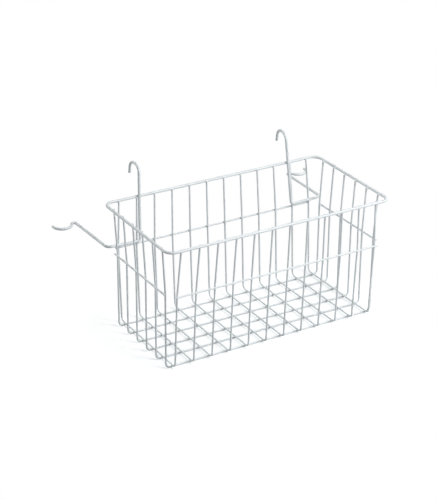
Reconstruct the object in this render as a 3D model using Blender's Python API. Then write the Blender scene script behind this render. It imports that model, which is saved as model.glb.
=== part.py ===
"""Welded wire basket that hangs on a cart or walking frame.

The basket is twenty-five bent wires. A thick loop forms the rim. Twelve cross wires and six
long wires, each a U, form the floor and the walls. Four straight wires tie the walls at belt
height. Two thick wires, mirror images, each form a hook for a cross bar and, at the other end
of the same wire, an arm with a cup for an upright tube.

Units are metres. +X runs along the basket, +Y points to its back, where the hooks are, and
+Z points up. The origin is on the floor, in the middle of the whole basket's box.
"""

from collections import namedtuple
from math import atan, atan2, ceil, cos, hypot, pi, radians, sin, sqrt, tan

import bpy
from mathutils import Vector

# Wire stock
RIM_WIRE = 0.0048  # diameter of the rim and of the two hook wires
GRID_WIRE = 0.0030  # diameter of the cross, long and belt wires
WELD_GAP = 0.0003  # clearance between two wires that touch

# Rim, outside sizes
RIM_LENGTH = 0.4064
RIM_WIDTH = 0.2150
RIM_TOP = 0.2122  # above the floor
RIM_CORNER = 0.0170  # outer radius

# Walls and floor, between the centre lines of facing walls
FLOOR_LENGTH = 0.3840
FLOOR_WIDTH = 0.1782
WIRE_BEND = 0.0075  # centre-line radius where a wall wire turns into the floor
END_RISE = 0.0008  # how far wall wires end above the middle of the rim wire

# Cross wires, from the front wall across the floor to the back wall
CROSS_COUNT = 12
CROSS_PITCH = 0.0330  # on the floor and up to the belt
CROSS_PITCH_AT_RIM = 0.0321

# Long wires, from the left wall along the floor to the right wall
LONG_COUNT = 6
LONG_PITCH = 0.0314

# Belt, the straight wires outside the four walls
BELT_HEIGHT = 0.1308
BELT_OVERHANG = 0.0035  # past the middle of the last wall wire

# Hook
SHANK_ON_WIRE = 2  # the cross wire that carries the shank, counted from either side
HOOK_THROAT = 0.0212  # clear width of the legs where they would reach the peak, wider below
HOOK_PEAK = 0.0521  # above the middle of the rim wire, on the centre line
HOOK_LEG = 0.0097  # straight end below the bend
HOOK_SPLAY = 0.0035  # how far the straight end opens backwards
HOOK_TURN = 0.0015  # how far the tip stands outwards of the shank

# Arm
ELBOW_LIFT = 0.0070  # elbow above the belt wires
ELBOW_BEND = 0.0050
ARM_RISE = 0.0014  # from the elbow to the corner
ARM_STANDOFF = 0.0112  # corner beyond the side wall
ARM_CORNER = 0.0090
ARM_SPLAY = radians(1.4)  # how far the arm opens outwards

# Cup at the end of the arm
CUP_THROAT = 0.0258  # clear width, for an upright tube of 25 mm
CUP_REACH = 0.1113  # middle of the cup behind the arm's corner
HAIRPIN = 0.0040  # centre-line radius of the turn before the cup
HAIRPIN_SHORT = 0.0050  # middle of the hairpin in front of the middle of the cup
LINK = 0.0044  # straight stretch between hairpin and cup
CUP_CLOSE = radians(-5)  # where the round of the cup ends, from straight outwards
CUP_TIP = 0.0052  # straight end of the cup

# Finish
COAT_COLOUR = (0.80, 0.83, 0.84, 1.0)
COAT_ROUGHNESS = 0.32

# Fineness of the solids
ARC_STEP = radians(15)
GRID_SIDES = 8
RIM_SIDES = 12

# Heights and places that follow
LONG_Z = GRID_WIRE / 2 * cos(pi / GRID_SIDES)
CROSS_Z = LONG_Z + GRID_WIRE + WELD_GAP
RIM_Z = RIM_TOP - RIM_WIRE / 2
WALL_TOP = RIM_Z + END_RISE
BELT_SEAT = GRID_WIRE + WELD_GAP
RIM_SEAT = (RIM_WIRE + GRID_WIRE) / 2 + WELD_GAP
SIDE_X = FLOOR_LENGTH / 2
SIDE_X_AT_RIM = RIM_LENGTH / 2 - RIM_WIRE / 2 - RIM_SEAT
BACK_Y = FLOOR_WIDTH / 2
BACK_Y_AT_RIM = RIM_WIDTH / 2 - RIM_WIRE / 2 - RIM_SEAT
BACK_LEAN = atan2(BACK_Y_AT_RIM - BACK_Y, RIM_Z - CROSS_Z)

# The shank nests in the corner between the rim and its cross wire and touches both
SHANK_NEST = RIM_WIRE + WELD_GAP - RIM_SEAT  # how far it stands further in than that wire
SHANK_OFFSET = sqrt(RIM_SEAT**2 - SHANK_NEST**2)  # beside it, towards the basket's middle


# A wire: its node's name, centre line, diameter, sides of the solid, and closed or not
Wire = namedtuple("Wire", "name line diameter sides closed")


def between(low, high, share):
    """The value at a share of the way from low to high."""
    return low + (high - low) * share


def back_y(height):
    """Centre line of the back wall's wires at a height, on their straight lean."""
    return BACK_Y + (height - CROSS_Z) * tan(BACK_LEAN)


def side_x(height):
    """Centre line of a side wall's wires: upright to the belt, then flared to the rim."""
    share = max(0.0, (height - BELT_HEIGHT) / (RIM_Z - BELT_HEIGHT))
    return between(SIDE_X, SIDE_X_AT_RIM, share)


def cross_pitch(height):
    """Spacing of the cross wires: even up to the belt, then drawn in to the rim."""
    share = max(0.0, (height - BELT_HEIGHT) / (RIM_Z - BELT_HEIGHT))
    return between(CROSS_PITCH, CROSS_PITCH_AT_RIM, share)


def arc(centre, start, end, turn):
    """Points of a circle about centre, from start to end, two arms of equal length."""
    steps = ceil(abs(turn) / ARC_STEP)
    points = []
    for step in range(steps + 1):
        share = step / steps
        arm = sin((1 - share) * turn) * start + sin(share * turn) * end
        points.append(centre + arm / sin(turn))
    return points


def bent(corners, bends):
    """A wire's centre line through corners, with each inner corner rounded to its radius."""
    points = [corners[0]]
    for before, corner, after, radius in zip(corners, corners[1:], corners[2:], bends):
        back = (before - corner).normalized()
        ahead = (after - corner).normalized()
        turn = pi - back.angle(ahead)
        setback = radius * tan(turn / 2)
        centre = corner + (back + ahead).normalized() * radius / cos(turn / 2)
        start = corner + back * setback - centre
        end = corner + ahead * setback - centre
        points += arc(centre, start, end, turn)
    points.append(corners[-1])
    return points


def flat_arc(centre, radius, start, end):
    """Points of a level circle about centre, between two angles from +X towards +Y."""
    steps = ceil(abs(end - start) / ARC_STEP)
    points = []
    for step in range(steps + 1):
        angle = between(start, end, step / steps)
        points.append(centre + radius * Vector((cos(angle), sin(angle), 0)))
    return points


def rim_line():
    """The rim's closed centre line: a level rectangle with round corners."""
    radius = RIM_CORNER - RIM_WIRE / 2
    half_length = (RIM_LENGTH - RIM_WIRE) / 2 - radius
    half_width = (RIM_WIDTH - RIM_WIRE) / 2 - radius
    points = []
    for quarter, (side, end) in enumerate(((1, 1), (-1, 1), (-1, -1), (1, -1))):
        centre = Vector((side * half_length, end * half_width, RIM_Z))
        points += flat_arc(centre, radius, quarter * pi / 2, (quarter + 1) * pi / 2)
    return points


def u_line(spot, foot):
    """A U-shaped wire's centre line: spot(end, height) is its place on the wall at each end."""
    heights = (WALL_TOP, BELT_HEIGHT, foot)
    first_top, first_belt, first_foot = [spot(-1, height) for height in heights]
    last_top, last_belt, last_foot = [spot(1, height) for height in heights]
    floor = bent([first_belt, first_foot, last_foot, last_belt], [WIRE_BEND] * 2)
    return [first_top] + floor + [last_top]


def cross_line(place):
    """A cross wire's centre line, at a place counted in pitches from the middle."""

    def spot(end, height):
        return Vector((place * cross_pitch(height), end * back_y(height), height))

    return u_line(spot, CROSS_Z)


def long_line(place):
    """A long wire's centre line, at a place counted in pitches from the middle."""

    def spot(end, height):
        return Vector((end * side_x(height), place * LONG_PITCH, height))

    return u_line(spot, LONG_Z)


def end_belt_line(end):
    """The belt wire outside the front wall, end -1, or the back wall, end 1."""
    reach = (CROSS_COUNT - 1) / 2 * CROSS_PITCH + BELT_OVERHANG
    y = end * (back_y(BELT_HEIGHT) + BELT_SEAT / cos(BACK_LEAN))
    return [Vector((-reach, y, BELT_HEIGHT)), Vector((reach, y, BELT_HEIGHT))]


def side_belt_line(side):
    """The belt wire outside the left wall, side -1, or the right wall, side 1."""
    reach = (LONG_COUNT - 1) / 2 * LONG_PITCH + BELT_OVERHANG
    flare = atan((SIDE_X_AT_RIM - SIDE_X) / (RIM_Z - BELT_HEIGHT))
    x = side * (SIDE_X + BELT_SEAT / cos(flare))
    return [Vector((x, -reach, BELT_HEIGHT)), Vector((x, reach, BELT_HEIGHT))]


def hook_corners():
    """Corners of the right hook and shank, from the hook's tip down to the elbow."""
    place = (CROSS_COUNT + 1) / 2 - SHANK_ON_WIRE
    elbow_z = BELT_HEIGHT + ELBOW_LIFT
    elbow = Vector(
        (
            place * cross_pitch(elbow_z) - SHANK_OFFSET,
            back_y(elbow_z) - RIM_SEAT / cos(BACK_LEAN),
            elbow_z,
        )
    )
    at_rim = Vector(
        (
            place * cross_pitch(RIM_Z) - SHANK_OFFSET,
            BACK_Y_AT_RIM - SHANK_NEST,
            RIM_Z,
        )
    )
    peak = elbow + (at_rim - elbow) * (RIM_Z + HOOK_PEAK - elbow_z) / (RIM_Z - elbow_z)
    radius = (HOOK_THROAT + RIM_WIRE) / 2
    far = peak + Vector((HOOK_TURN, 2 * radius, 0))
    tip = far + Vector((0, HOOK_SPLAY, -radius - HOOK_LEG))
    return [tip, far, peak, elbow]


def cup_points(corner):
    """The right arm's level end behind its corner: straight run, hairpin, cup and tip."""
    radius = (CUP_THROAT + RIM_WIRE) / 2
    hairpin_y = corner.y + CUP_REACH - HAIRPIN_SHORT
    foot = Vector((-cos(ARM_SPLAY), sin(ARM_SPLAY), 0)) * HAIRPIN
    run_x = corner.x + (hairpin_y + foot.y - corner.y) * tan(ARM_SPLAY)
    hairpin = Vector((run_x - foot.x, hairpin_y, corner.z))
    apart = hypot(HAIRPIN + radius, LINK)
    cup = hairpin + Vector((sqrt(apart**2 - HAIRPIN_SHORT**2), HAIRPIN_SHORT, 0))
    link_turn = atan2(LINK, HAIRPIN + radius)
    leave = atan2(HAIRPIN_SHORT, cup.x - hairpin.x) + link_turn
    points = flat_arc(hairpin, HAIRPIN, pi - ARM_SPLAY, leave)
    points += flat_arc(cup, radius, leave - pi, CUP_CLOSE)
    tip = points[-1] + CUP_TIP * Vector((-sin(CUP_CLOSE), cos(CUP_CLOSE), 0))
    return points + [tip]


def hook_arm_line(side):
    """Centre line of the left, -1, or right, 1, wire with the hook and the arm."""
    hook = hook_corners()
    elbow = hook[-1]
    corner = Vector((SIDE_X + ARM_STANDOFF, elbow.y, elbow.z + ARM_RISE))
    end = cup_points(corner)
    radius = (HOOK_THROAT + RIM_WIRE) / 2
    bends = [radius, radius, ELBOW_BEND, ARM_CORNER]
    points = bent(hook + [corner, end[0]], bends)[:-1] + end
    return [Vector((side * point.x, point.y, point.z)) for point in points]


def basket_wires():
    """Every wire of the basket."""
    wires = [Wire("rim_wire", rim_line(), RIM_WIRE, RIM_SIDES, True)]
    for number in range(1, CROSS_COUNT + 1):
        line = cross_line(number - (CROSS_COUNT + 1) / 2)
        wires.append(Wire(f"cross_wire_{number:02d}", line, GRID_WIRE, GRID_SIDES, False))
    for number in range(1, LONG_COUNT + 1):
        line = long_line(number - (LONG_COUNT + 1) / 2)
        wires.append(Wire(f"long_wire_{number}", line, GRID_WIRE, GRID_SIDES, False))
    belts = {
        "front_belt_wire": end_belt_line(-1),
        "back_belt_wire": end_belt_line(1),
        "left_belt_wire": side_belt_line(-1),
        "right_belt_wire": side_belt_line(1),
    }
    for name, line in belts.items():
        wires.append(Wire(name, line, GRID_WIRE, GRID_SIDES, False))
    for name, side in (("left_hook_arm", -1), ("right_hook_arm", 1)):
        wires.append(Wire(name, hook_arm_line(side), RIM_WIRE, RIM_SIDES, False))
    return wires


def middle_of_depth(wires):
    """The middle of the whole basket in Y, from the rim's front to the rearmost wire."""
    front = min(point.y - wire.diameter / 2 for wire in wires for point in wire.line)
    rear = max(point.y + wire.diameter / 2 for wire in wires for point in wire.line)
    return (front + rear) / 2


def coat(name):
    """White baked coating on steel wire."""
    material = bpy.data.materials.new(f"{name}_coat")
    material.use_nodes = True
    shader = material.node_tree.nodes["Principled BSDF"]
    shader.inputs["Base Color"].default_value = COAT_COLOUR
    shader.inputs["Roughness"].default_value = COAT_ROUGHNESS
    shader.inputs["Metallic"].default_value = 0.0
    return material


def make_wire(collection, wire, location):
    """A round wire as a bevelled curve, turned half a side so that a flat faces down."""
    curve = bpy.data.curves.new(wire.name, "CURVE")
    curve.dimensions = "3D"
    curve.bevel_depth = wire.diameter / 2
    curve.bevel_resolution = wire.sides // 2 - 2
    curve.use_fill_caps = True
    spline = curve.splines.new("POLY")
    spline.points.add(len(wire.line) - 1)
    for spot, point in zip(spline.points, wire.line):
        spot.co = (*point, 1.0)
        spot.tilt = pi / wire.sides
    spline.use_cyclic_u = wire.closed
    spline.use_smooth = True
    curve.materials.append(coat(wire.name))
    solid = bpy.data.objects.new(wire.name, curve)
    solid.location = location
    collection.objects.link(solid)


def main():
    for leftover in list(bpy.data.objects):
        bpy.data.objects.remove(leftover)
    collection = bpy.data.collections.new("wire_basket")
    bpy.context.scene.collection.children.link(collection)
    wires = basket_wires()
    to_origin = Vector((0, -middle_of_depth(wires), 0))
    for wire in wires:
        make_wire(collection, wire, to_origin)


main()
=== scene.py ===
"""Looks of the welded wire basket: coated wires, weld beads, floor, light and camera.

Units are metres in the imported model's frame: +X runs along the basket, +Y points to its back,
where the hooks are, and +Z points up from the floor. Each wire is a round tube carried along
the route that its solid follows. Where wires cross, a bead of weld joins them under the
coating.
"""

from collections import namedtuple
from math import acos, atan2, ceil, cos, hypot, pi, radians, sin, sqrt, tan

import bpy
import numpy as np
from mathutils import Matrix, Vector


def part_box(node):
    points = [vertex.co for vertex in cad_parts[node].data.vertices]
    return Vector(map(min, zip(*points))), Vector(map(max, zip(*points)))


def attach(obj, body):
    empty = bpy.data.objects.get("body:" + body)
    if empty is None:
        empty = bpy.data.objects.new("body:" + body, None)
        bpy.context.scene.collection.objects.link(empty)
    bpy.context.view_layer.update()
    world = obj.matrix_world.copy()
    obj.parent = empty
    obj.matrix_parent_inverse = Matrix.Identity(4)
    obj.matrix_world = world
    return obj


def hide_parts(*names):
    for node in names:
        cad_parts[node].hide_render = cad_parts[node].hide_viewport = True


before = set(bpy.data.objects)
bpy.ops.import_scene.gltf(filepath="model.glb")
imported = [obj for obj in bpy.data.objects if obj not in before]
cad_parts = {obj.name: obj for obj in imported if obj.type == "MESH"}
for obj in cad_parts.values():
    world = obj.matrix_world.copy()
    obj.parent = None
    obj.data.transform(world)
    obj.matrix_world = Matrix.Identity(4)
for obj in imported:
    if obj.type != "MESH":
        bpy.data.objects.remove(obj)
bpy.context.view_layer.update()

# The routes below are written about the middle of the rim, which lies here in the frame
RIM_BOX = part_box("rim_wire")
RIM_MIDDLE = np.array([0, (RIM_BOX[0][1] + RIM_BOX[1][1]) / 2, 0])

# Wire stock
RIM_WIRE = 0.0048  # diameter of the rim and of the two hook wires
RIM_RADIUS = 0.0023  # of their tubes, just inside the flats of their solids
GRID_WIRE = 0.0030  # diameter of the cross, long and belt wires
GRID_RADIUS = GRID_WIRE / 2
SOLID_SIDES = 8  # of a thin wire's solid, which has a flat facing down
WELD_GAP = 0.0003  # clearance between two wires that touch

# Rim, outside sizes
RIM_LENGTH = 0.4064
RIM_WIDTH = 0.2150
RIM_TOP = 0.2122  # above the floor
RIM_CORNER = 0.0170  # outer radius

# Walls and floor, between the centre lines of facing walls
FLOOR_LENGTH = 0.3840
FLOOR_WIDTH = 0.1782
WIRE_BEND = 0.0075  # centre-line radius where a wall wire turns into the floor
KINK_BEND = 0.0200  # and where it turns into the flare above the belt
END_RISE = 0.0008  # how far wall wires end above the middle of the rim wire

# Grid
CROSS_COUNT = 12
CROSS_PITCH = 0.0330  # on the floor and up to the belt
CROSS_PITCH_AT_RIM = 0.0321
LONG_COUNT = 6
LONG_PITCH = 0.0314
BELT_HEIGHT = 0.1308
BELT_OVERHANG = 0.0035  # past the middle of the last wall wire

# Hook
SHANK_ON_WIRE = 2  # the cross wire that carries the shank, counted from either side
HOOK_THROAT = 0.0212  # clear width of the legs where they would reach the peak, wider below
HOOK_PEAK = 0.0521  # above the middle of the rim wire, on the centre line
HOOK_LEG = 0.0097  # straight end below the bend
HOOK_SPLAY = 0.0035  # how far the straight end opens backwards
HOOK_TURN = 0.0015  # how far the tip stands outwards of the shank

# Arm
ELBOW_LIFT = 0.0070  # elbow above the belt wires
ELBOW_BEND = 0.0050
ARM_RISE = 0.0014  # from the elbow to the corner
ARM_STANDOFF = 0.0112  # corner beyond the side wall
ARM_CORNER = 0.0090
ARM_SPLAY = radians(1.4)  # how far the arm opens outwards

# Cup at the end of the arm
CUP_THROAT = 0.0258  # clear width
CUP_REACH = 0.1113  # middle of the cup behind the arm's corner
HAIRPIN = 0.0040  # centre-line radius of the turn before the cup
HAIRPIN_SHORT = 0.0050  # middle of the hairpin in front of the middle of the cup
LINK = 0.0044  # straight stretch between hairpin and cup
CUP_CLOSE = radians(-5)  # where the round of the cup ends, from straight outwards
CUP_TIP = 0.0052  # straight end of the cup

# Heights and places that follow
LONG_Z = GRID_RADIUS
CROSS_Z = GRID_RADIUS * cos(pi / SOLID_SIDES) + GRID_WIRE + WELD_GAP
RIM_Z = RIM_TOP - RIM_WIRE / 2
WALL_TOP = RIM_Z + END_RISE
BELT_SEAT = GRID_WIRE + WELD_GAP
RIM_SEAT = (RIM_WIRE + GRID_WIRE) / 2 + WELD_GAP
SIDE_X = FLOOR_LENGTH / 2
SIDE_X_AT_RIM = RIM_LENGTH / 2 - RIM_WIRE / 2 - RIM_SEAT
BACK_Y = FLOOR_WIDTH / 2
BACK_Y_AT_RIM = RIM_WIDTH / 2 - RIM_WIRE / 2 - RIM_SEAT
BACK_LEAN = atan2(BACK_Y_AT_RIM - BACK_Y, RIM_Z - CROSS_Z)
SIDE_FLARE = atan2(SIDE_X_AT_RIM - SIDE_X, RIM_Z - BELT_HEIGHT)

# The shank nests in the corner between the rim and its cross wire and touches both
SHANK_NEST = RIM_WIRE + WELD_GAP - RIM_SEAT  # how far it stands further in than that wire
SHANK_OFFSET = sqrt(RIM_SEAT**2 - SHANK_NEST**2)  # beside it, towards the basket's middle

# Fineness of the tubes
ARC_STEP = radians(5)
STATION = 0.0030  # most between two rings
GRID_SIDES = 24
RIM_SIDES = 32
END_DEPTH = 0.45  # rounded end, in radii
END_SHAPE = 2.6  # exponent of its superellipse
END_RINGS = 6

# Weld beads
BEAD_MOUTH = 0.0009  # gap between two wires where their bead ends
BEAD_WAIST = 0.78  # at the middle of the parabola that its sides follow, as a share of its edge
BEAD_SINK = 0.0002  # how far its edge lies inside the wires
BEAD_RUN = 0.0045  # most that a bead reaches along the low wire
BEAD_SIDES = 12
BEAD_ROWS = 3
LEAST_OPENING = 1e-9  # stands for none, in a direction in which the gap doesn't open

# Coating that pools round a weld; its reach also sets how far the painted shade round a weld goes
POOL_REACH = 0.0031  # from the weld's middle, about as far as a thin wire's far side
POOL_HEIGHT = 0.00012  # most that it swells a wire's surface

# Finish of the coating, with colours as linear red, green and blue
COAT = (0.828, 0.872, 0.890)
# painted shade: a greyer coat colour round a weld, where the wires meet
WELD_SHADE_COAT = (0.79, 0.835, 0.855)
FRAME_ROUGHNESS = 0.24  # least roughness on the thick wires
GRID_ROUGHNESS = 0.28  # and on the thin ones
ROUGHNESS_SPREAD = 0.16  # most that the orange peel adds to it
SPECULAR_LEVEL = 0.4
TONE_SCALE = 45.0  # of the broad noise that shifts the tone
TONE_DETAIL = 3.0
TONE_NOISE = (0.3, 0.7)  # noise values between which the tone changes
DARKEST_TONE = 0.94
PEEL_SCALE = 900.0  # of the fine noise of the orange peel
PEEL_DETAIL = 2.0
PEEL_STRENGTH = 0.25  # of its relief
PEEL_DEPTH = 0.00005

# Floor and surround, with colours as linear red, green and blue
FLOOR_HALF = 6.0  # half the side of the square floor
FLOOR_DROP = 0.0002  # below the wires, so that they don't touch it
FLOOR_GREY = (0.41, 0.415, 0.42)  # what light bounces off
SHADOW_GROUND = (0.92, 0.92, 0.92)  # what is seen near the basket and takes its shadow
SHADOW_GLOW = (0.385, 0.400, 0.400)  # added to it, so that it is white outside the shadow
SHADOW_REACH = 0.065  # from the floor wires to where the floor is plain white
SURROUND = (0.155, 0.165, 0.170)
WHITE = (1, 1, 1)

# Lamps
AIM = np.array([0, 0, 0.1])  # what they point at
COOL_LIGHT = (0.97, 1.0, 1.0)
WARM_LIGHT = (1.0, 0.955, 0.955)
FAR_LAMP_PLACE = 3.0  # distance of its object, which its light doesn't depend on

# Camera, matched to the photograph's view of the basket
CAMERA_PLACE = (-1.23893, -2.05388, 1.26399)
CAMERA_TILT = radians(64.180)  # up from straight down
CAMERA_TURN = radians(-30.662)  # about +Z, from looking towards +Y
CAMERA_ROLL = radians(0.435)  # about its own axis
CAMERA_LENS = 117.31  # millimetres, like the sensor's width
CAMERA_SENSOR = 36.0
NEAREST_SEEN = 0.05
FARTHEST_SEEN = 30.0

# Welds of a low wire and a high one, which lies above it on the floor and outside it at the
# walls: places on the centre lines, directions along them, and radii
Weld = namedtuple("Weld", "low low_along low_radius high high_along high_radius")

ALONG_X = np.array([1.0, 0.0, 0.0])
ALONG_Y = np.array([0.0, 1.0, 0.0])
UP = np.array([0.0, 0.0, 1.0])


def between(low, high, share):
    """The value at a share of the way from low to high."""
    return low + (high - low) * share


def unit(vectors):
    """Vectors divided by their length."""
    return vectors / np.linalg.norm(vectors, axis=-1, keepdims=True)


def full_turn(count):
    """Angles evenly spread over a full turn."""
    return np.arange(count) * 2 * pi / count


def directions(angle, side, other):
    """The vectors cos(a) side + sin(a) other, a row of all the angles for each side."""
    return (np.cos(angle)[None, :, None] * side[:, None]
            + np.sin(angle)[None, :, None] * other[:, None])


def back_y(height):
    """Centre line of the back wall's wires at a height, on their straight lean."""
    return BACK_Y + (height - CROSS_Z) * tan(BACK_LEAN)


def above_belt(height):
    """Share of the way from the belt up to the rim, zero below the belt."""
    return max(0.0, (height - BELT_HEIGHT) / (RIM_Z - BELT_HEIGHT))


def side_x(height):
    """Centre line of a side wall's wires: upright to the belt, then flared to the rim."""
    return between(SIDE_X, SIDE_X_AT_RIM, above_belt(height))


def cross_pitch(height):
    """Spacing of the cross wires: even up to the belt, then drawn in to the rim."""
    return between(CROSS_PITCH, CROSS_PITCH_AT_RIM, above_belt(height))


def rounded(corners, bends):
    """A line through corners, each inner corner replaced by an arc of its radius.

    An arc's points are centre + (sin((1 - s) t) start + sin(s t) end) / sin(t), for s from
    0 to 1, where start and end are the arms to its tangent points and t is its turn.
    """
    corners = np.array(corners)
    line = [corners[:1]]
    for before, corner, after, radius in zip(corners, corners[1:], corners[2:], bends):
        back = unit(before - corner)
        ahead = unit(after - corner)
        turn = pi - acos(back @ ahead)
        centre = corner + unit(back + ahead) * radius / cos(turn / 2)
        start = corner + back * radius * tan(turn / 2) - centre
        end = corner + ahead * radius * tan(turn / 2) - centre
        share = np.linspace(0, 1, ceil(turn / ARC_STEP) + 1)[:, None]
        arms = np.sin((1 - share) * turn) * start + np.sin(share * turn) * end
        line.append(centre + arms / sin(turn))
    line.append(corners[-1:])
    return np.concatenate(line)


def flat_arc(centre, radius, start, end):
    """Points of a level circle about centre, between two angles from +X towards +Y."""
    angle = np.linspace(start, end, ceil(abs(end - start) / ARC_STEP) + 1)
    level = np.column_stack([np.cos(angle), np.sin(angle), np.zeros_like(angle)])
    return centre + radius * level


def rim_line():
    """The rim's centre line: a level rectangle with round corners, without its last side."""
    radius = RIM_CORNER - RIM_WIRE / 2
    half_length = (RIM_LENGTH - RIM_WIRE) / 2 - radius
    half_width = (RIM_WIDTH - RIM_WIRE) / 2 - radius
    corners = []
    for quarter, (side, end) in enumerate(((1, 1), (-1, 1), (-1, -1), (1, -1))):
        centre = np.array([side * half_length, end * half_width, RIM_Z])
        corners.append(flat_arc(centre, radius, quarter * pi / 2, (quarter + 1) * pi / 2))
    return np.concatenate(corners)


def u_line(spot, foot):
    """A U-shaped wire's centre line: spot(end, height) is its place on the wall at each end."""
    down = [spot(-1, height) for height in (WALL_TOP, BELT_HEIGHT, foot)]
    rising = [spot(1, height) for height in (foot, BELT_HEIGHT, WALL_TOP)]
    return rounded(down + rising, [KINK_BEND, WIRE_BEND, WIRE_BEND, KINK_BEND])


def cross_line(place):
    """A cross wire's centre line, at a place counted in pitches from the middle."""

    def spot(end, height):
        return (place * cross_pitch(height), end * back_y(height), height)

    return u_line(spot, CROSS_Z)


def long_line(place):
    """A long wire's centre line, at a place counted in pitches from the middle."""

    def spot(end, height):
        return (end * side_x(height), place * LONG_PITCH, height)

    return u_line(spot, LONG_Z)


def end_belt_line(end):
    """The belt wire outside the front wall, end -1, or the back wall, end 1."""
    reach = (CROSS_COUNT - 1) / 2 * CROSS_PITCH + BELT_OVERHANG
    y = end * (back_y(BELT_HEIGHT) + BELT_SEAT / cos(BACK_LEAN))
    return np.array([(-reach, y, BELT_HEIGHT), (reach, y, BELT_HEIGHT)])


def side_belt_line(side):
    """The belt wire outside the left wall, side -1, or the right wall, side 1."""
    reach = (LONG_COUNT - 1) / 2 * LONG_PITCH + BELT_OVERHANG
    x = side * (SIDE_X + BELT_SEAT / cos(SIDE_FLARE))
    return np.array([(x, -reach, BELT_HEIGHT), (x, reach, BELT_HEIGHT)])


def hook_corners():
    """Corners of the right hook and shank, from the hook's tip down to the elbow."""
    place = (CROSS_COUNT + 1) / 2 - SHANK_ON_WIRE
    elbow_z = BELT_HEIGHT + ELBOW_LIFT
    elbow_x = place * cross_pitch(elbow_z) - SHANK_OFFSET
    elbow = np.array([elbow_x, back_y(elbow_z) - RIM_SEAT / cos(BACK_LEAN), elbow_z])
    rim_x = place * cross_pitch(RIM_Z) - SHANK_OFFSET
    at_rim = np.array([rim_x, BACK_Y_AT_RIM - SHANK_NEST, RIM_Z])
    peak = elbow + (at_rim - elbow) * (RIM_Z + HOOK_PEAK - elbow_z) / (RIM_Z - elbow_z)
    radius = (HOOK_THROAT + RIM_WIRE) / 2
    far = peak + np.array([HOOK_TURN, 2 * radius, 0])
    tip = far + np.array([0, HOOK_SPLAY, -radius - HOOK_LEG])
    return [tip, far, peak, elbow]


def cup_points(corner):
    """The right arm's level end behind its corner: straight run, hairpin, cup and tip."""
    radius = (CUP_THROAT + RIM_WIRE) / 2
    hairpin_y = corner[1] + CUP_REACH - HAIRPIN_SHORT
    foot = np.array([-cos(ARM_SPLAY), sin(ARM_SPLAY), 0]) * HAIRPIN
    run_x = corner[0] + (hairpin_y + foot[1] - corner[1]) * tan(ARM_SPLAY)
    hairpin = np.array([run_x - foot[0], hairpin_y, corner[2]])
    apart = hypot(HAIRPIN + radius, LINK)
    cup = hairpin + np.array([sqrt(apart**2 - HAIRPIN_SHORT**2), HAIRPIN_SHORT, 0])
    link_turn = atan2(LINK, HAIRPIN + radius)
    leave = atan2(HAIRPIN_SHORT, cup[0] - hairpin[0]) + link_turn
    turn = flat_arc(hairpin, HAIRPIN, pi - ARM_SPLAY, leave)
    bowl = flat_arc(cup, radius, leave - pi, CUP_CLOSE)
    tip = bowl[-1:] + CUP_TIP * np.array([-sin(CUP_CLOSE), cos(CUP_CLOSE), 0])
    return np.concatenate([turn, bowl, tip])


def hook_arm_line(side):
    """Centre line of the left, -1, or right, 1, wire with the hook and the arm."""
    hook = hook_corners()
    elbow = hook[-1]
    corner = np.array([SIDE_X + ARM_STANDOFF, elbow[1], elbow[2] + ARM_RISE])
    end = cup_points(corner)
    radius = (HOOK_THROAT + RIM_WIRE) / 2
    bends = [radius, radius, ELBOW_BEND, ARM_CORNER]
    line = np.concatenate([rounded(hook + [corner, end[0]], bends)[:-1], end])
    return line * np.array([side, 1, 1])


def places(count):
    """Places of evenly spread wires, counted in pitches from the middle."""
    return np.arange(count) - (count - 1) / 2


def wires():
    """Every wire: its node, centre line, reference direction, and whether it is thick."""
    yield "rim_wire", rim_line(), UP, True
    for number, place in enumerate(places(CROSS_COUNT), 1):
        yield f"cross_wire_{number:02d}", cross_line(place), ALONG_X, False
    for number, place in enumerate(places(LONG_COUNT), 1):
        yield f"long_wire_{number}", long_line(place), ALONG_Y, False
    yield "front_belt_wire", end_belt_line(-1), UP, False
    yield "back_belt_wire", end_belt_line(1), UP, False
    yield "left_belt_wire", side_belt_line(-1), UP, False
    yield "right_belt_wire", side_belt_line(1), UP, False
    yield "left_hook_arm", hook_arm_line(-1), np.array([-1.0, 1.0, 1.0]), True
    yield "right_hook_arm", hook_arm_line(1), np.array([1.0, 1.0, 1.0]), True


def stack(*columns):
    """Points from their X, Y and Z, where each is a number or an array."""
    return np.stack(np.broadcast_arrays(*columns), axis=-1).astype(float).reshape(-1, 3)


def weld_rows(rows, low_radius, high_radius):
    """One Weld from rows of low places and their direction, high places and theirs."""
    low, low_along, high, high_along = zip(*rows)
    counts = [len(part) for part in low]
    return Weld(
        np.concatenate(low), np.repeat(low_along, counts, axis=0), low_radius,
        np.concatenate(high), np.repeat(high_along, counts, axis=0), high_radius,
    )


def floor_welds():
    """Where each cross wire lies on each long wire."""
    x, y = np.meshgrid(places(CROSS_COUNT) * CROSS_PITCH, places(LONG_COUNT) * LONG_PITCH)
    row = (stack(x, y, LONG_Z), ALONG_X, stack(x, y, CROSS_Z), ALONG_Y)
    return weld_rows([row], GRID_RADIUS, GRID_RADIUS)


def rim_welds():
    """Where the wall wires' ends stand against the inside of the rim."""
    rows = []
    z = RIM_Z - END_RISE
    x = places(CROSS_COUNT) * CROSS_PITCH_AT_RIM
    y = places(LONG_COUNT) * LONG_PITCH
    for end in (-1, 1):
        wall = stack(x, end * BACK_Y_AT_RIM, z)
        rim = stack(x, end * (BACK_Y_AT_RIM + RIM_SEAT), z + END_RISE)
        rows.append((wall, (0, end * sin(BACK_LEAN), cos(BACK_LEAN)), rim, ALONG_X))
        wall = stack(end * SIDE_X_AT_RIM, y, z)
        rim = stack(end * (SIDE_X_AT_RIM + RIM_SEAT), y, z + END_RISE)
        rows.append((wall, (end * sin(SIDE_FLARE), 0, cos(SIDE_FLARE)), rim, ALONG_Y))
    return weld_rows(rows, GRID_RADIUS, RIM_RADIUS)


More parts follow.
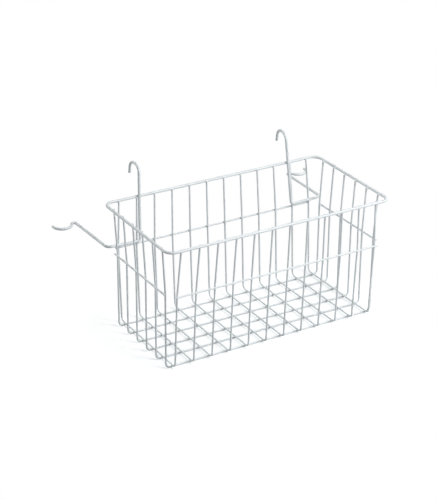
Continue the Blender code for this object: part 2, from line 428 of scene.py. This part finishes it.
def belt_welds():
    """Where the belt wires cross the wall wires."""
    rows = []
    back = back_y(BELT_HEIGHT)
    x = places(CROSS_COUNT) * CROSS_PITCH
    y = places(LONG_COUNT) * LONG_PITCH
    for end in (-1, 1):
        wall = stack(x, end * back, BELT_HEIGHT)
        belt = stack(x, end * (back + BELT_SEAT), BELT_HEIGHT)
        rows.append((wall, UP, belt, ALONG_X))
        wall = stack(end * SIDE_X, y, BELT_HEIGHT)
        belt = stack(end * (SIDE_X + BELT_SEAT), y, BELT_HEIGHT)
        rows.append((wall, UP, belt, ALONG_Y))
    return weld_rows(rows, GRID_RADIUS, GRID_RADIUS)


def shank_welds():
    """Where the two shanks stand against the rim."""
    peak, elbow = hook_corners()[2:]
    spot = between(elbow, peak, (RIM_Z - elbow[2]) / (peak[2] - elbow[2]))
    shanks = spot * np.array([[-1, 1, 1], [1, 1, 1]])
    rim = shanks * np.array([1, 0, 1]) + stack(0, BACK_Y_AT_RIM + RIM_SEAT, 0)
    return weld_rows([(shanks, UP, rim, ALONG_X)], RIM_RADIUS, RIM_RADIUS)


def arm_welds():
    """Where the level runs of the two arms pass inside the last two cross wires."""
    elbow = hook_corners()[-1]
    place = (CROSS_COUNT - 1) / 2
    x = np.array([place - 1, place]) * CROSS_PITCH
    rise = ARM_RISE * (x - elbow[0]) / (SIDE_X + ARM_STANDOFF - elbow[0])
    arms = stack(np.concatenate([-x, x]), elbow[1], np.tile(elbow[2] + rise, 2))
    wall = arms * np.array([1, 0, 1]) + stack(0, back_y(elbow[2]), 0)
    return weld_rows([(arms, ALONG_X, wall, UP)], RIM_RADIUS, GRID_RADIUS)


def across_gap(weld):
    """Each weld's direction from the low wire to the high one, and the gap between them."""
    apart = weld.high - weld.low
    gap = np.linalg.norm(apart, axis=1) - weld.low_radius - weld.high_radius
    return unit(apart), gap


def weld_centres(weld):
    """The middle of the gap between the two wires of each weld."""
    normal, gap = across_gap(weld)
    return RIM_MIDDLE + weld.low + normal * (weld.low_radius + gap / 2)[:, None]


def nearness(points):
    """How close points lie to a weld: (1 - (distance / POOL_REACH)^2)^2, 0 beyond that reach."""
    least = np.full(len(points), np.inf)
    for centre in ALL_WELD_CENTRES:
        least = np.minimum(least, ((points - centre) ** 2).sum(axis=1))
    return (1 - least / POOL_REACH**2).clip(0) ** 2


def new_mesh(name, points, faces):
    """A smooth mesh object with its place in its mesh."""
    mesh = bpy.data.meshes.new(name)
    mesh.from_pydata(points.reshape(-1, 3), [], faces)
    mesh.shade_smooth()
    piece = bpy.data.objects.new(name, mesh)
    bpy.context.scene.collection.objects.link(piece)
    return piece


def ring_faces(rings, sides, closed):
    """Quads between neighbouring rings of points, facing away from the path."""
    ring = np.arange(rings if closed else rings - 1)[:, None]
    side = np.arange(sides)[None, :]
    ahead = (ring + 1) % rings
    beside = (side + 1) % sides
    start, end = ring * sides, ahead * sides
    corners = (start + side, start + beside, end + beside, end + side)
    return np.stack(corners, axis=-1).reshape(-1, 4).tolist()


def end_fans(rings, sides):
    """Triangles that close an open tube's ends, to its two poles, whose points come last."""
    pole = rings * sides
    around = np.arange(sides)
    beside = (around + 1) % sides
    last_ring = pole - sides
    start_fan = (np.full(sides, pole), beside, around)
    end_fan = (np.full(sides, pole + 1), last_ring + around, last_ring + beside)
    return np.stack(start_fan, axis=-1).tolist() + np.stack(end_fan, axis=-1).tolist()


def stations(line):
    """The line with points added to its straight stretches, at most STATION apart."""
    steps = np.linalg.norm(np.diff(line, axis=0), axis=1)
    along = np.concatenate([[0], np.cumsum(steps)])
    shares = [start + step * np.arange(count) / count
              for start, step, count in zip(along, steps, np.ceil(steps / STATION).astype(int))]
    fine = np.concatenate(shares + [along[-1:]])
    return np.stack([np.interp(fine, along, axis) for axis in line.T], axis=-1)


def rounded_ends(line, radius):
    """Ring centres and radii of an open tube, drawn in towards both ends.

    Towards an end the radius is r sin(b)^(2/n) at a depth d (1 - cos(b)^(2/n)), for b from
    0 to a quarter turn: a superellipse of exponent n.
    """
    angle = np.linspace(0, pi / 2, END_RINGS + 1)[1:]
    inset = END_DEPTH * radius * (1 - np.cos(angle).clip(0) ** (2 / END_SHAPE))[:, None]
    start = line[0] + unit(line[1] - line[0]) * inset
    end = line[-1] - unit(line[-1] - line[-2]) * inset[::-1]
    end_radii = radius * np.sin(angle) ** (2 / END_SHAPE)
    centres = np.concatenate([start, line[1:-1], end])
    radii = np.concatenate([end_radii, np.full(len(line) - 2, radius), end_radii[::-1]])
    return centres, radii


def tube(name, line, radius, sides, reference, closed):
    """A round tube along a line, with rounded ends unless it closes on itself.

    A ring's points are centre + r (cos(a) side + sin(a) other), where side and other are
    square to the line and side is square to reference, which never runs along the line.
    Near a weld the surface swells by POOL_HEIGHT times its nearness, which it also keeps as
    an attribute that sets the painted shade in the coating there.
    """
    if closed:
        line = stations(np.concatenate([line, line[:1]]))[:-1]
        centres = line
        radii = np.full(len(line), radius)
        ahead = unit(np.roll(line, -1, axis=0) - np.roll(line, 1, axis=0))
    else:
        line = stations(line)
        centres, radii = rounded_ends(line, radius)
        ahead = unit(np.gradient(centres, axis=0))
    side = unit(np.cross(reference, ahead))
    out = directions(full_turn(sides), side, np.cross(ahead, side))
    points = (centres[:, None] + radii[:, None, None] * out).reshape(-1, 3)
    near = nearness(points)
    points = points + POOL_HEIGHT * near[:, None] * out.reshape(-1, 3)
    faces = ring_faces(len(centres), sides, closed)
    if not closed:
        faces += end_fans(len(centres), sides)
        points = np.concatenate([points, line[:1], line[-1:]])
        near = np.concatenate([near, [0, 0]])
    piece = new_mesh(name, points, faces)
    attribute = piece.data.attributes.new("weld", "FLOAT", "POINT")
    attribute.data.foreach_set("value", near.astype(np.float32))
    return piece


def drop(radius, off):
    """How far a round surface has dropped at a distance beside its top: r - sqrt(r^2 - q^2)."""
    return radius - np.sqrt(radius**2 - off**2)


def bead_faces(count):
    """Faces of a number of beads, each of BEAD_ROWS rows of quads and two flat ends."""
    size = (BEAD_ROWS + 1) * BEAD_SIDES
    one = ring_faces(BEAD_ROWS + 1, BEAD_SIDES, False)
    one.append(list(range(BEAD_SIDES))[::-1])
    one.append(list(range(BEAD_ROWS * BEAD_SIDES, size)))
    return [[corner + bead * size for corner in face] for bead in range(count) for face in one]


def beads(name, weld):
    """Beads between crossing or parallel wires, each a waisted plug sunk into both wires.

    At a distance p from a bead's middle, a wire has dropped away by r - sqrt(r^2 - q^2),
    where q is the part of p square to that wire. The bead's edge is where both drops, taken
    as q^2 / (2 r), have opened the gap to BEAD_MOUTH. At an angle a from the low wire,
    1 / p^2 gains (cos(a) / BEAD_RUN)^2, which ends a bead that runs between parallel wires.
    Its rings follow a parabola that is BEAD_WAIST as wide half way between the wires.
    """
    normal, gap = across_gap(weld)
    low_along = unit(weld.low_along)
    high_along = unit(weld.high_along)
    along = unit(low_along - (low_along * normal).sum(axis=1, keepdims=True) * normal)
    across = np.cross(normal, along)
    cosine = (high_along * along).sum(axis=1)
    sine = (high_along * across).sum(axis=1)
    angle = full_turn(BEAD_SIDES)
    off_low = np.abs(np.sin(angle))[None, :]
    off_high = np.abs(np.cos(angle)[None] * sine[:, None] - np.sin(angle)[None] * cosine[:, None])
    opening = off_low**2 / (2 * weld.low_radius) + off_high**2 / (2 * weld.high_radius)
    mouth = np.sqrt((BEAD_MOUTH - gap)[:, None] / np.maximum(opening, LEAST_OPENING))
    edge = 1 / np.sqrt(1 / mouth**2 + (np.cos(angle)[None] / BEAD_RUN) ** 2)
    rows = np.linspace(-1, 1, BEAD_ROWS + 1)[None, :, None]
    reach = edge[:, None] * (BEAD_WAIST + (1 - BEAD_WAIST) * rows**2)
    bottom = -(gap[:, None] / 2 + drop(weld.low_radius, edge * off_low) + BEAD_SINK)
    top = gap[:, None] / 2 + drop(weld.high_radius, edge * off_high) + BEAD_SINK
    share = (rows + 1) / 2
    height = bottom[:, None] * (1 - share) + top[:, None] * share
    flat = directions(angle, along, across)
    points = (weld_centres(weld)[:, None, None] + reach[..., None] * flat[:, None]
              + height[..., None] * normal[:, None, None])
    return new_mesh(name, points, bead_faces(len(gap)))


def add_sockets(group, way, kinds):
    """Adds the inputs or outputs of a node group, by their names and kinds."""
    for name, kind in kinds.items():
        group.interface.new_socket(name=name, in_out=way, socket_type=kind)


def noise(group, place, scale, detail):
    """Procedural noise at a place, from 0 to 1."""
    texture = group.nodes.new("ShaderNodeTexNoise")
    texture.inputs["Scale"].default_value = scale
    texture.inputs["Detail"].default_value = detail
    group.links.new(place, texture.inputs["Vector"])
    return texture.outputs["Fac"]


def baked_coat_group():
    """The baked coating's colour, roughness and relief.

    Broad noise shifts the tone, fine noise is the orange peel of the baked powder in
    roughness and relief, and round a weld the colour turns to a painted shade where wires meet.
    """
    colour, number = "NodeSocketColor", "NodeSocketFloat"
    group = bpy.data.node_groups.new("baked_coat", "ShaderNodeTree")
    add_sockets(group, "INPUT", {"Coat": colour, "Weld Shade": colour, "Weld": number,
                                 "Least Roughness": number})
    add_sockets(group, "OUTPUT", {"Colour": colour, "Roughness": number, "Height": number})
    nodes = group.nodes
    link = group.links.new
    given = nodes.new("NodeGroupInput")
    result = nodes.new("NodeGroupOutput")
    place = nodes.new("ShaderNodeTexCoord").outputs["Object"]
    broad = noise(group, place, TONE_SCALE, TONE_DETAIL)
    peel = noise(group, place, PEEL_SCALE, PEEL_DETAIL)
    tone = nodes.new("ShaderNodeMapRange")
    tone.inputs["From Min"].default_value = TONE_NOISE[0]
    tone.inputs["From Max"].default_value = TONE_NOISE[1]
    tone.inputs["To Min"].default_value = DARKEST_TONE
    tone.inputs["To Max"].default_value = 1.0
    link(broad, tone.inputs["Value"])
    # painted shade: the coat mixes towards a greyer colour by its nearness to a weld
    weld_shaded = nodes.new("ShaderNodeMix")
    weld_shaded.data_type = "RGBA"
    link(given.outputs["Weld"], weld_shaded.inputs["Factor"])
    link(given.outputs["Coat"], weld_shaded.inputs["A"])
    link(given.outputs["Weld Shade"], weld_shaded.inputs["B"])
    toned = nodes.new("ShaderNodeMix")
    toned.data_type = "RGBA"
    toned.blend_type = "MULTIPLY"
    toned.inputs["Factor"].default_value = 1.0
    link(weld_shaded.outputs["Result"], toned.inputs["A"])
    link(tone.outputs["Result"], toned.inputs["B"])
    link(toned.outputs["Result"], result.inputs["Colour"])
    uneven = nodes.new("ShaderNodeMath")
    uneven.operation = "MULTIPLY_ADD"
    uneven.inputs[1].default_value = ROUGHNESS_SPREAD
    link(peel, uneven.inputs[0])
    link(given.outputs["Least Roughness"], uneven.inputs[2])
    link(uneven.outputs["Value"], result.inputs["Roughness"])
    link(peel, result.inputs["Height"])
    return group


def coat_material(name, group, least_roughness):
    """White baked coating on steel wire."""
    material = bpy.data.materials.new(name)
    material.use_nodes = True
    nodes = material.node_tree.nodes
    link = material.node_tree.links.new
    shader = nodes["Principled BSDF"]
    shader.inputs["Specular IOR Level"].default_value = SPECULAR_LEVEL
    coating = nodes.new("ShaderNodeGroup")
    coating.node_tree = group
    coating.inputs["Coat"].default_value = (*COAT, 1)
    # painted shade round the welds
    coating.inputs["Weld Shade"].default_value = (*WELD_SHADE_COAT, 1)
    coating.inputs["Least Roughness"].default_value = least_roughness
    weld = nodes.new("ShaderNodeAttribute")
    weld.attribute_name = "weld"
    link(weld.outputs["Fac"], coating.inputs["Weld"])
    bump = nodes.new("ShaderNodeBump")
    bump.inputs["Strength"].default_value = PEEL_STRENGTH
    bump.inputs["Distance"].default_value = PEEL_DEPTH
    link(coating.outputs["Height"], bump.inputs["Height"])
    link(coating.outputs["Colour"], shader.inputs["Base Color"])
    link(coating.outputs["Roughness"], shader.inputs["Roughness"])
    link(bump.outputs["Normal"], shader.inputs["Normal"])
    return material


def white_to_camera(tree, plain, white):
    """Mixes a plain shader with one that camera, glossy and transmission rays see."""
    nodes = tree.nodes
    link = tree.links.new
    path = nodes.new("ShaderNodeLightPath")
    seen = path.outputs["Is Camera Ray"]
    for ray in ("Is Glossy Ray", "Is Transmission Ray"):
        either = nodes.new("ShaderNodeMath")
        either.operation = "MAXIMUM"
        link(seen, either.inputs[0])
        link(path.outputs[ray], either.inputs[1])
        seen = either.outputs["Value"]
    mix = nodes.new("ShaderNodeMixShader")
    link(seen, mix.inputs["Fac"])
    link(plain, mix.inputs[1])
    link(white, mix.inputs[2])
    return mix.outputs["Shader"]


def outside_footprint(tree):
    """Distance from the rectangle that the basket's floor wires cover, by the object's place.

    It is the length of max(|p - middle| - half, 0), taken axis by axis.
    """
    steps = [("SUBTRACT", tuple(RIM_MIDDLE)), ("ABSOLUTE", None),
             ("SUBTRACT", (FLOOR_LENGTH / 2, FLOOR_WIDTH / 2, 0)), ("MAXIMUM", (0, 0, 0))]
    reached = tree.nodes.new("ShaderNodeTexCoord").outputs["Object"]
    for operation, value in steps:
        node = tree.nodes.new("ShaderNodeVectorMath")
        node.operation = operation
        tree.links.new(reached, node.inputs[0])
        if value is not None:
            node.inputs[1].default_value = value
        reached = node.outputs["Vector"]
    length = tree.nodes.new("ShaderNodeVectorMath")
    length.operation = "LENGTH"
    tree.links.new(reached, length.inputs[0])
    return length.outputs["Value"]


def even_shader(tree, kind, colour):
    """A shader of one even colour."""
    shader = tree.nodes.new(kind)
    shader.inputs["Color"].default_value = (*colour, 1)
    return shader.outputs[0]


def floor_surface(tree):
    """Plain grey for the light, seen as white that keeps the shadow near the basket."""
    link = tree.links.new
    plain = even_shader(tree, "ShaderNodeBsdfDiffuse", FLOOR_GREY)
    near = tree.nodes.new("ShaderNodeAddShader")
    link(even_shader(tree, "ShaderNodeBsdfDiffuse", SHADOW_GROUND), near.inputs[0])
    link(even_shader(tree, "ShaderNodeEmission", SHADOW_GLOW), near.inputs[1])
    far = even_shader(tree, "ShaderNodeEmission", WHITE)
    fade = tree.nodes.new("ShaderNodeMapRange")
    fade.interpolation_type = "SMOOTHSTEP"
    fade.inputs["From Min"].default_value = 0.0
    fade.inputs["From Max"].default_value = SHADOW_REACH
    link(outside_footprint(tree), fade.inputs["Value"])
    seen = tree.nodes.new("ShaderNodeMixShader")
    link(fade.outputs["Result"], seen.inputs["Fac"])
    link(near.outputs["Shader"], seen.inputs[1])
    link(far, seen.inputs[2])
    return white_to_camera(tree, plain, seen.outputs["Shader"])


def floor():
    """A wide pale floor that looks white and keeps the basket's faint shadow."""
    half = FLOOR_HALF
    corners = np.array([(-half, -half, 0), (half, -half, 0), (half, half, 0), (-half, half, 0)])
    ground = new_mesh("studio_floor", corners - UP * FLOOR_DROP, [[0, 1, 2, 3]])
    material = bpy.data.materials.new("studio_floor")
    material.use_nodes = True
    tree = material.node_tree
    tree.nodes.remove(tree.nodes["Principled BSDF"])
    tree.links.new(floor_surface(tree), tree.nodes["Material Output"].inputs["Surface"])
    ground.data.materials.append(material)


def sky():
    """An even studio surround: soft cool light, and white where it is seen."""
    world = bpy.data.worlds.new("studio")
    world.use_nodes = True
    tree = world.node_tree
    plain = tree.nodes["Background"]
    plain.inputs["Color"].default_value = (*SURROUND, 1)
    white = even_shader(tree, "ShaderNodeBackground", WHITE)
    surface = white_to_camera(tree, plain.outputs["Background"], white)
    tree.links.new(surface, tree.nodes["World Output"].inputs["Surface"])
    bpy.context.scene.world = world


def place_lamp(name, light, colour, bearing, height, distance):
    """Points a light at AIM, from a bearing from +X towards +Y and a height, as angles."""
    light.color = colour
    source = bpy.data.objects.new(name, light)
    level = cos(height) * distance
    source.location = AIM + np.array([level * cos(bearing), level * sin(bearing),
                                      distance * sin(height)])
    source.rotation_euler = (pi / 2 - height, 0, bearing + pi / 2)
    bpy.context.scene.collection.objects.link(source)


def far_lamp(name, colour, bearing, height, power, width):
    """A soft lamp so far away that it lights everything alike: its width is an angle."""
    light = bpy.data.lights.new(name, "SUN")
    light.energy = power
    light.angle = width
    place_lamp(name, light, colour, bearing, height, FAR_LAMP_PLACE)


def near_lamp(name, colour, bearing, height, distance, size, power):
    """A square soft box near the basket, which lights its nearer side more."""
    light = bpy.data.lights.new(name, "AREA")
    light.shape = "SQUARE"
    light.size = size
    light.energy = power
    place_lamp(name, light, colour, bearing, height, distance)


def lamps():
    """Two soft boxes at the front right, one high and one low, and a far lamp at the rear left."""
    near_lamp("high_lamp", WARM_LIGHT, bearing=radians(296), height=radians(62),
              distance=2.4, size=0.9, power=27.8)
    near_lamp("side_lamp", COOL_LIGHT, bearing=radians(300), height=radians(20),
              distance=1.8, size=0.6, power=13.4)
    far_lamp("rear_lamp", COOL_LIGHT, bearing=radians(136), height=radians(17),
             power=1.0, width=radians(22))


def camera():
    """The camera, at the photograph's angle, its horizon level but for a slight roll."""
    eye = bpy.data.objects.new("camera", bpy.data.cameras.new("camera"))
    eye.data.lens = CAMERA_LENS
    eye.data.sensor_width = CAMERA_SENSOR
    eye.data.clip_start = NEAREST_SEEN
    eye.data.clip_end = FARTHEST_SEEN
    turned = Matrix.Rotation(CAMERA_TURN, 4, "Z") @ Matrix.Rotation(CAMERA_TILT, 4, "X")
    rolled = turned @ Matrix.Rotation(CAMERA_ROLL, 4, "Z")
    eye.matrix_world = Matrix.Translation(CAMERA_PLACE) @ rolled
    bpy.context.scene.collection.objects.link(eye)
    bpy.context.scene.camera = eye


WELDS = {
    "floor_welds": floor_welds(),
    "rim_welds": rim_welds(),
    "belt_welds": belt_welds(),
    "shank_welds": shank_welds(),
    "arm_welds": arm_welds(),
}
THICK_WELDS = ("shank_welds", "arm_welds")
ALL_WELD_CENTRES = np.concatenate([weld_centres(weld) for weld in WELDS.values()])

baked_coat = baked_coat_group()
frame_coat = coat_material("frame_coat_white", baked_coat, FRAME_ROUGHNESS)
grid_coat = coat_material("grid_coat_white", baked_coat, GRID_ROUGHNESS)

for node, line, reference, thick in wires():
    radius, sides = (RIM_RADIUS, RIM_SIDES) if thick else (GRID_RADIUS, GRID_SIDES)
    line = line + RIM_MIDDLE
    wire = tube(f"coated_{node}", line, radius, sides, reference, node == "rim_wire")
    wire.data.materials.append(frame_coat if thick else grid_coat)
    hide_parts(node)
    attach(wire, "root")

for name, weld in WELDS.items():
    bead = beads(name, weld)
    thick = name in THICK_WELDS
    bead.data.materials.append(frame_coat if thick else grid_coat)
    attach(bead, "root")

floor()
sky()
lamps()
camera()
bpy.context.scene.view_settings.view_transform = "Standard"
